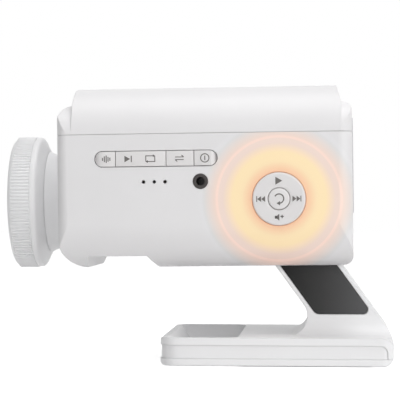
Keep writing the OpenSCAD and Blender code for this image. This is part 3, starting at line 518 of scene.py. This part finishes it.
def mix_finishes(casing, pad):
    """Makes every finish and gives each CAD node the one of its material slot, but for the
    wall over the halo and the neck behind the ring."""
    ease = casing.soft_edge / MM
    FINISH.update(
        # Casing: soft broad highlights and hardly any grain
        shell_white=moulded("satin_abs_shell", casing.shell, ease=ease),
        # Stand: the same plastic a shade lighter, with fuller edges
        stand_white=moulded("satin_abs_stand", casing.stand, roughness=0.36, ease=ease + 0.3),
        # Ring and neck: painted lighter still as painted light for the shaded recess behind the ring, crisp so
        # that the ribs stay apart
        ring_white=moulded(
            "satin_abs_ring_painted_light", casing.ring, roughness=0.4, depth=0.002, ease=0.06
        ),
        # Keys and pad: a touch glossier than the casing round them
        key_white=moulded("satin_key_caps", casing.keys, roughness=0.38, ease=0.12),
        # Rear panel: cool grey, matt, set off from the casing
        panel_grey=moulded("satin_abs_panel", "#d3d3d5", ease=0.3),
        # Socket: dark brown-black with a soft shine on its lip
        socket_dark=moulded("dark_nylon_socket", "#35302e", roughness=0.3, ease=0.2),
        # Optics' inner parts: flat black that swallows light
        inner_black=moulded("matt_black_abs", "#1d1d20", roughness=0.6, ease=0.2),
        # Carrier wheel: milky and slightly waxy
        inner_white=moulded("natural_acetal", "#e8e8e4", roughness=0.35, ease=0.15),
        # Battery: blue film with a thin gloss
        battery_wrap=moulded("shrink_wrap", "#48699a", roughness=0.28, ease=0.8, coat=0.3),
        # Marks: warm grey ink, matt on the satin keys
        marks=moulded("printed_ink", casing.ink, roughness=0.5, ease=0.02),
        # Feet and mat: dull greys that take no highlight
        foot_rubber=rubber("foot_rubber", "#d2d2d4"),
        mat_grey=rubber("silicone_mat", "#c2c2c5"),
        # Inlay: polished dark acrylic, painted greyer towards the base as painted reflection
        inlay_dark=polished_inlay_painted_reflection(casing),
        # Metals: grey steel, warm turned brass, pale lined aluminium
        steel=worked_metal("plated_steel", "#b4b7bb", 0.32),
        washer_brass=worked_metal("turned_brass", "#c6a35c", 0.3),
        sink_aluminium=worked_metal(
            "extruded_aluminium", "#c5c8cc", 0.38, (300.0, 300.0, 20.0)
        ),
        lens_glass=coated_glass(),
        slide_film=star_film(),
        board_green=circuit_board(),
        halo_amber=amber_guide(),
        lit_shell=lit_housing(casing, pad),
    )
    slots = {s["node"]: s["material_slot"] for s in frame["record"]["subparts"]}
    seen_as = {"lower_housing": "lit_shell", "lens_barrel": "ring_white"}
    for name, obj in NODES.items():
        material = FINISH[seen_as.get(name, slots[name])]
        if not obj.material_slots:
            obj.data.materials.append(material)
        for slot in obj.material_slots:
            slot.material = material


# ---------- pieces ----------


def bar(u, v, width, height, turn=0.0):
    """A flat oblong about a point, in millimetres."""
    settle()
    bpy.ops.mesh.primitive_plane_add(size=1, location=(u * MM, v * MM, 0), rotation=(0, 0, turn))
    obj = bpy.context.object
    obj.scale = (width * MM, height * MM, 1)
    return fixed(obj)


def wedge(u, v, width, height, turn=0.0):
    """A flat triangle about a point, in millimetres, that points along +u before its turn."""
    settle()
    bpy.ops.mesh.primitive_circle_add(
        vertices=3, radius=1, fill_type="NGON", rotation=(0, 0, -math.pi / 2)
    )
    obj = bpy.context.object
    bpy.ops.object.transform_apply(rotation=True)
    obj.scale = (width * MM / 1.5, height * MM / math.sqrt(3), 1)
    to_middle = Matrix.Translation((-width * MM / 6, 0, 0))
    place = Matrix.Translation((u * MM, v * MM, 0)) @ Matrix.Rotation(turn, 4, "Z")
    return fixed(obj, place @ to_middle)


def arc(u, v, radius, width, start, end, steps=48):
    """Part of a ring, from one angle to another in degrees, anticlockwise."""
    settle()
    outer = (radius + width / 2) * MM
    bpy.ops.mesh.primitive_circle_add(vertices=steps, radius=outer)
    obj = bpy.context.object
    bpy.ops.object.mode_set(mode="EDIT")
    bpy.ops.mesh.select_all(action="SELECT")
    bpy.ops.mesh.extrude_region_move(TRANSFORM_OT_translate={"value": (0, 0, 0)})
    shrink = (radius - width / 2) / (radius + width / 2)
    bpy.ops.transform.resize(value=(shrink, shrink, 1), center_override=(0, 0, 0))
    if end - start < 360:

        def outside(centre, normal):
            return (math.degrees(math.atan2(centre.y, centre.x)) - start) % 360 > end - start

        pick(obj, "FACE", outside)
        bpy.ops.mesh.delete(type="FACE")
    bpy.ops.object.mode_set(mode="OBJECT")
    obj.data.transform(Matrix.Translation((u * MM, v * MM, 0)))
    return obj


def ink_mark(name, shapes, at, body):
    """Joins flat shapes into one printed mark, 0.06 mm thick, lying on a front face at a place."""
    mark = joined(shapes, name)
    solid = mark.modifiers.new("film", "SOLIDIFY")
    solid.thickness, solid.offset = 0.06 * MM, 0.0
    bpy.ops.object.modifier_apply(modifier="film")
    facing_front(mark, at)
    return finished(mark, body, "key_white", FINISH["marks"])


def key_cap(name, x0, x1, round_left, round_right, settings):
    """One key of the strip: a block whose outer corners are rounded off and whose front edge
    is eased."""
    settle()
    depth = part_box(name)[1].y - FACE_Y + settings.proud
    bpy.ops.mesh.primitive_cube_add(
        size=1, location=((x0 + x1) / 2, FACE_Y - settings.proud + depth / 2, KEY_ROW.z)
    )
    cap = bpy.context.object
    cap.scale = (x1 - x0, depth, settings.height)
    fixed(cap)
    # Just short of half the height, so that the two rounded corners never meet
    radius = settings.height / 2 * 0.998

    def rounded(a, b):
        if abs(a.y - b.y) < depth / 2:
            return False
        return (round_left and a.x < x0 + 1e-5) or (round_right and a.x > x1 - 1e-5)

    if round_left or round_right:
        pick(cap, "EDGE", rounded)
        bpy.ops.mesh.bevel(offset=radius, segments=14, affect="EDGES", clamp_overlap=False)
    front = FACE_Y - settings.proud
    pick(cap, "EDGE", lambda a, b: a.y < front + 1e-5 and b.y < front + 1e-5)
    bpy.ops.mesh.bevel(offset=settings.ease, segments=3, affect="EDGES", clamp_overlap=True)
    bpy.ops.object.mode_set(mode="OBJECT")
    fixed(cap, LEVEL_TO_HEAD)
    cap.name = cap.data.name = name + "_cap"
    return finished(cap, name, "key_white", FINISH["key_white"], name)


class PROJECTOR_OT_finishes(bpy.types.Operator):
    """Mixes the finishes and gives every CAD node its own"""

    bl_idname = "projector.finishes"
    bl_label = "Finishes"

    def execute(self, context):
        mix_finishes(context.scene.projector_casing, context.scene.projector_pad)
        return {"FINISHED"}


class PROJECTOR_OT_keys(bpy.types.Operator):
    """Models the four keys of the strip and their printed marks"""

    bl_idname = "projector.keys"
    bl_label = "Keys"

    def execute(self, context):
        settings = context.scene.projector_keys
        low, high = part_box("source_key")
        left = middle("source_key").x - (high.x - low.x) / 2
        names = ["source_key", "track_rocker", "mode_key", "power_key"]
        gap = settings.gap / 2
        for i, name in enumerate(names):
            x0 = left + settings.edges[i] * MM + (gap if i else 0)
            x1 = left + settings.edges[i + 1] * MM - (gap if i < 3 else 0)
            key_cap(name, x0, x1, i == 0, i == 3, settings)

        def on_key(along):
            return Vector((left + along * MM, FACE_Y - settings.proud - 0.02 * MM, KEY_ROW.z))

        tall = [1.3, 2.4, 3.1, 2.0, 1.4]
        ink_mark(
            "source_mark", [bar((i - 2) * 0.78, 0, 0.42, h) for i, h in enumerate(tall)],
            on_key(4.9), "source_key",
        )
        ink_mark(
            "skip_mark", [wedge(-0.45, 0, 2.4, 2.7), bar(1.25, 0, 0.42, 2.7)],
            on_key(14.3), "track_rocker",
        )
        loop = [
            bar(-0.3, 1.2, 3.2, 0.36), bar(0.3, -1.2, 3.2, 0.36), bar(-1.9, 0.1, 0.36, 2.56),
            bar(1.9, -0.1, 0.36, 2.56), wedge(1.55, 1.2, 0.9, 1.2),
            wedge(-1.55, -1.2, 0.9, 1.2, math.pi),
        ]
        ink_mark("repeat_mark", loop, on_key(23.6), "track_rocker")
        barb = math.radians(-40)
        swap = [bar(0, 0.55, 3.6, 0.36), bar(0, -0.55, 3.6, 0.36),
                bar(1.35, 0.95, 1.2, 0.36, barb), bar(-1.35, -0.95, 1.2, 0.36, barb)]
        ink_mark("swap_mark", swap, on_key(35.9), "mode_key")
        power = [arc(0, 0, 1.75, 0.4, 0, 360), bar(0, 0, 0.42, 1.9)]
        ink_mark("power_mark", power, on_key(46.6), "power_key")
        return {"FINISHED"}


class PROJECTOR_OT_pad(bpy.types.Operator):
    """Models the round control pad, its middle button and their marks"""

    bl_idname = "projector.pad"
    bl_label = "Control pad"

    def execute(self, context):
        s = context.scene.projector_pad
        r, b, top = s.radius, s.button, s.proud
        hole, back, ease = b + 0.25 * MM, -3.1 * MM, 0.35 * MM
        pad = turned("pad_disc", 128, [
            (back, hole), (top - 0.45 * MM, hole), (top - 0.3 * MM, hole + 0.06 * MM),
            (top - 0.2 * MM, hole + 0.25 * MM), (top - 0.12 * MM, hole + 1.6 * MM),
            (top, r - 1.1 * MM), (top - 0.02 * MM, r - 0.6 * MM), (top - 0.12 * MM, r - 0.25 * MM),
            (top - ease, r - 0.07 * MM), (top - ease - 0.2 * MM, r), (-2.6 * MM, r),
            (-2.6 * MM, r + 1 * MM), (back, r + 1 * MM)])
        at = Vector((PAD.x, FACE_Y, PAD.z))
        facing_front(pad, at)
        finished(pad, "control_pad", "key_white", FINISH["key_white"], "control_pad", smooth=40)
        cap = turned("play_button_cap", 96, [
            (-4.1 * MM, 0.02 * MM), (-4.1 * MM, b + 1 * MM), (-3.5 * MM, b + 1 * MM),
            (-3.5 * MM, b), (top - 0.25 * MM, b), (top - 0.05 * MM, b - 0.08 * MM),
            (top + 0.1 * MM, b - 0.3 * MM), (top + 0.18 * MM, b - 0.8 * MM),
            (top + 0.2 * MM, 0.02 * MM)])
        facing_front(cap, at)
        finished(cap, "play_button", "key_white", FINISH["key_white"], "play_button", smooth=40)

        def on_pad(u, v):
            return Vector((PAD.x + u * MM, FACE_Y - top - 0.01 * MM, PAD.z + v * MM))

        ink_mark("play_mark", [wedge(0, 0, 2.9, 3.3)], on_pad(0, 7.6), "control_pad")
        back_pair = [bar(-1.75, 0, 0.36, 2.4), wedge(-0.75, 0, 1.6, 2.4, math.pi),
                     wedge(0.95, 0, 1.6, 2.4, math.pi)]
        ink_mark("previous_mark", back_pair, on_pad(-7.6, 0), "control_pad")
        next_pair = [bar(1.75, 0, 0.36, 2.4), wedge(0.75, 0, 1.6, 2.4), wedge(-0.95, 0, 1.6, 2.4)]
        ink_mark("next_mark", next_pair, on_pad(7.4, 0), "control_pad")
        louder = [bar(-1.45, 0, 0.8, 1.2), wedge(-0.85, 0, 1.7, 2.9, math.pi),
                  bar(1.2, 0.3, 1.4, 0.4), bar(1.2, 0.3, 0.4, 1.4)]
        ink_mark("louder_mark", louder, on_pad(0, -7.7), "control_pad")
        ring = [arc(0, 0.1, 1.95, 0.52, -85, 150), wedge(-0.35, -1.85, 1.5, 1.8, math.pi)]
        ink_mark(
            "loop_mark", ring, Vector((PAD.x, FACE_Y - top - 0.21 * MM, PAD.z)), "play_button"
        )
        return {"FINISHED"}


class PROJECTOR_OT_focus_ring(bpy.types.Operator):
    """Models the ribbed focus ring with its smooth lip and hooded front"""

    bl_idname = "projector.focus_ring"
    bl_label = "Focus ring"

    def execute(self, context):
        s = context.scene.projector_ring
        r, long, deep = s.radius, s.long, s.hood
        body = turned("focus_ring_body", 180, [
            (-long, 19.1 * MM), (-long, 22.2 * MM), (-14.9 * MM, 23.3 * MM),
            (-14.3 * MM, 24.5 * MM), (-13.75 * MM, 25.5 * MM),
            (-13.4 * MM, r - 2.6 * MM), (-13.0 * MM, r - 1.7 * MM),
            (-12.6 * MM, r - 1.05 * MM), (-12.2 * MM, r - 0.55 * MM), (-11.6 * MM, r - 0.3 * MM),
            (-10.1 * MM, r - 0.3 * MM), (-9.9 * MM, r - 0.4 * MM), (-9.8 * MM, r - 0.62 * MM),
            (-1.75 * MM, r - 0.62 * MM), (-1.2 * MM, r - 0.85 * MM), (-0.6 * MM, r - 1.45 * MM),
            (-0.15 * MM, r - 2.3 * MM), (0.0, r - 3.1 * MM), (0.0, r - 5.4 * MM),
            (-0.15 * MM, r - 5.9 * MM), (-0.5 * MM, r - 6.3 * MM), (-deep, 16.65 * MM),
            (-deep, 19.1 * MM)])
        settle()
        bpy.ops.mesh.primitive_cube_add(size=1)
        rib = bpy.context.object
        rib.scale = (1.1 * MM, 0.86 * MM, s.rib_len)
        rib.location = (r - s.rib_reach, 0, -s.rib_start - s.rib_len / 2)
        fixed(rib)
        pick(rib, "EDGE", lambda a, b: a.x > r - 0.2 * MM and b.x > r - 0.2 * MM)
        bpy.ops.mesh.bevel(offset=0.3 * MM, segments=2, affect="EDGES")
        bpy.ops.object.mode_set(mode="OBJECT")
        parts = [body, rib]
        for i in range(1, s.ribs):
            copy = rib.copy()
            copy.data = rib.data.copy()
            copy.data.transform(Matrix.Rotation(2 * math.pi * i / s.ribs, 4, "Z"))
            context.scene.collection.objects.link(copy)
            parts.append(copy)
        whole = joined(parts, "focus_ring_body")
        along_lens(whole, Vector((RING.x - long / 2, 0, RING.z)))
        finished(whole, "focus_ring", "ring_white", FINISH["ring_white"], "focus_ring", smooth=38)
        return {"FINISHED"}


class PROJECTOR_OT_socket(bpy.types.Operator):
    """Models the audio socket's collar and the charging socket's tongue"""

    bl_idname = "projector.socket"
    bl_label = "Sockets"

    def execute(self, context):
        collar = turned("audio_collar", 64, [
            (-3 * MM, 1.85 * MM), (0.0, 1.85 * MM), (0.22 * MM, 2.0 * MM), (0.3 * MM, 2.35 * MM),
            (0.3 * MM, 2.75 * MM), (0.2 * MM, 3.05 * MM), (0.0, 3.18 * MM), (-3 * MM, 3.18 * MM)])
        facing_front(collar, Vector((JACK.x, FACE_Y, JACK.z)))
        finished(collar, "head", "socket_dark", FINISH["socket_dark"], smooth=50)
        low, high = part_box("usb_socket")
        settle()
        bpy.ops.mesh.primitive_cube_add(size=1)
        tongue = bpy.context.object
        tongue.scale = (4.4 * MM, 6.2 * MM, 0.7 * MM)
        tongue.location = (high.x - 3.2 * MM, (low.y + high.y) / 2, (low.z + high.z) / 2)
        fixed(tongue)
        pick(tongue, "EDGE", lambda a, b: a.x > high.x - 1.1 * MM and b.x > high.x - 1.1 * MM)
        bpy.ops.mesh.bevel(offset=0.2 * MM, segments=2, affect="EDGES")
        bpy.ops.object.mode_set(mode="OBJECT")
        tongue.name = tongue.data.name = "charging_tongue"
        finished(tongue, "head", "inner_black", FINISH["inner_black"])
        return {"FINISHED"}


def seen_directly(tree):
    """1 for a ray from the camera, a reflection or a refraction, 0 for light on its way."""
    ray = add(tree, "ShaderNodeLightPath").outputs
    seen = add(
        tree, "ShaderNodeMath", {0: ray["Is Camera Ray"], 1: ray["Is Glossy Ray"]},
        operation="MAXIMUM",
    )
    return add(
        tree, "ShaderNodeMath", {0: seen.outputs[0], 1: ray["Is Transmission Ray"]},
        operation="MAXIMUM",
    ).outputs[0]


# Soft oblong lamps: name, place, aim, width and height in metres, power in watts and
# whether the lamp shows in reflections
LAMPS = (
    ("overhead", (0.03, -0.15, 0.7), (0, 0, 0.06), (0.5, 0.5), 1.95, True),
    ("right_front", (0.65, -0.6, 0.3), (0.02, 0, 0.07), (0.5, 0.5), 1.4, True),
    ("ahead", (0.1, -0.85, 0.3), (0, 0, 0.05), (0.8, 0.3), 1.1, False),
    ("table_bounce", (-0.05, -0.42, 0.012), (-0.02, 0, 0.06), (0.7, 0.02), 0.02, False),
)


def soft_lamp(name, at, aim, size, power, mirrored):
    """Hangs one of the lamps."""
    light = bpy.data.lights.new(name, "AREA")
    light.shape, light.size, light.size_y, light.energy = "RECTANGLE", size[0], size[1], power
    obj = bpy.data.objects.new(name, light)
    obj.location = at
    obj.rotation_euler = (Vector(aim) - Vector(at)).to_track_quat("-Z", "Y").to_euler()
    obj.visible_glossy = mirrored
    bpy.context.scene.collection.objects.link(obj)


class PROJECTOR_OT_stage(bpy.types.Operator):
    """Sets the camera, the pale floor, the soft lamps and the white surround"""

    bl_idname = "projector.stage"
    bl_label = "Stage"

    def execute(self, context):
        s = context.scene.projector_stage
        scene = context.scene
        scene.view_settings.view_transform = "Standard"
        data = bpy.data.cameras.new("camera")
        data.lens, data.sensor_width, data.shift_y = s.focal, 36.0, s.camera_rise
        camera = bpy.data.objects.new("camera", data)
        camera.location = s.camera_at
        camera.rotation_euler = (math.radians(90), 0, s.camera_turn)
        scene.collection.objects.link(camera)
        scene.camera = camera

        settle()
        bpy.ops.mesh.primitive_plane_add(size=6)
        floor = bpy.context.object
        floor.name = "floor"
        material = bpy.data.materials.new("pale_paper_floor")
        material.use_nodes = True
        tree = material.node_tree
        tree.nodes.clear()
        paper = add(tree, "ShaderNodeBsdfDiffuse", {"Color": linear("#ececec")})
        lift = add(
            tree, "ShaderNodeEmission", {"Color": linear("#ffffff"), "Strength": s.floor_lift}
        )
        sum_up = add(tree, "ShaderNodeAddShader", {0: paper.outputs[0], 1: lift.outputs[0]})
        shown = add(
            tree, "ShaderNodeMixShader",
            {0: seen_directly(tree), 1: paper.outputs[0], 2: sum_up.outputs[0]},
        )
        add(tree, "ShaderNodeOutputMaterial", {"Surface": shown.outputs[0]})
        floor.data.materials.append(material)

        world = bpy.data.worlds.new("white_surround")
        world.use_nodes = True
        scene.world = world
        tree = world.node_tree
        tree.nodes.clear()
        heading = add(tree, "ShaderNodeTexCoord").outputs["Generated"]
        across = add(tree, "ShaderNodeSeparateXYZ", {"Vector": heading}).outputs["X"]
        dim, bright = s.ambient * (1 - s.ambient_lean), s.ambient * (1 + s.ambient_lean)
        side = add(
            tree, "ShaderNodeMapRange",
            {"Value": across, "From Min": -1.0, "To Min": dim, "To Max": bright},
        )
        strength = add(
            tree, "ShaderNodeMapRange",
            {"Value": seen_directly(tree), "To Min": side.outputs[0], "To Max": 1.0},
        )
        glow = add(
            tree, "ShaderNodeBackground",
            {"Color": (1, 1, 1, 1), "Strength": strength.outputs[0]},
        )
        add(tree, "ShaderNodeOutputWorld", {"Surface": glow.outputs[0]})
        for lamp in LAMPS:
            soft_lamp(*lamp)
        return {"FINISHED"}


class PROJECTOR_PT_panel(bpy.types.Panel):
    """Lists the steps that dress the projector"""

    bl_idname = "PROJECTOR_PT_panel"
    bl_label = "Star projector"
    bl_space_type = "VIEW_3D"
    bl_region_type = "UI"
    bl_category = "Projector"

    def draw(self, context):
        for step in STEPS:
            self.layout.operator(step.bl_idname)
        for name in SETTINGS:
            box = self.layout.box()
            group = getattr(context.scene, name)
            for prop in type(group).__annotations__:
                box.prop(group, prop)


SETTINGS = {
    "projector_casing": CasingSettings,
    "projector_ring": RingSettings,
    "projector_keys": KeySettings,
    "projector_pad": PadSettings,
    "projector_stage": StageSettings,
}
STEPS = (
    PROJECTOR_OT_stage, PROJECTOR_OT_finishes, PROJECTOR_OT_keys, PROJECTOR_OT_pad,
    PROJECTOR_OT_focus_ring, PROJECTOR_OT_socket,
)


def register():
    for name, group in SETTINGS.items():
        bpy.utils.register_class(group)
        setattr(bpy.types.Scene, name, bpy.props.PointerProperty(type=group))
    for item in STEPS + (PROJECTOR_PT_panel,):
        bpy.utils.register_class(item)


def unregister():
    for item in (PROJECTOR_PT_panel,) + STEPS[::-1]:
        bpy.utils.unregister_class(item)
    for name, group in SETTINGS.items():
        delattr(bpy.types.Scene, name)
        bpy.utils.unregister_class(group)


def main():
    register()
    for step in STEPS:
        family, action = step.bl_idname.split(".")
        getattr(getattr(bpy.ops, family), action)()


if __name__ == "__main__":
    main()
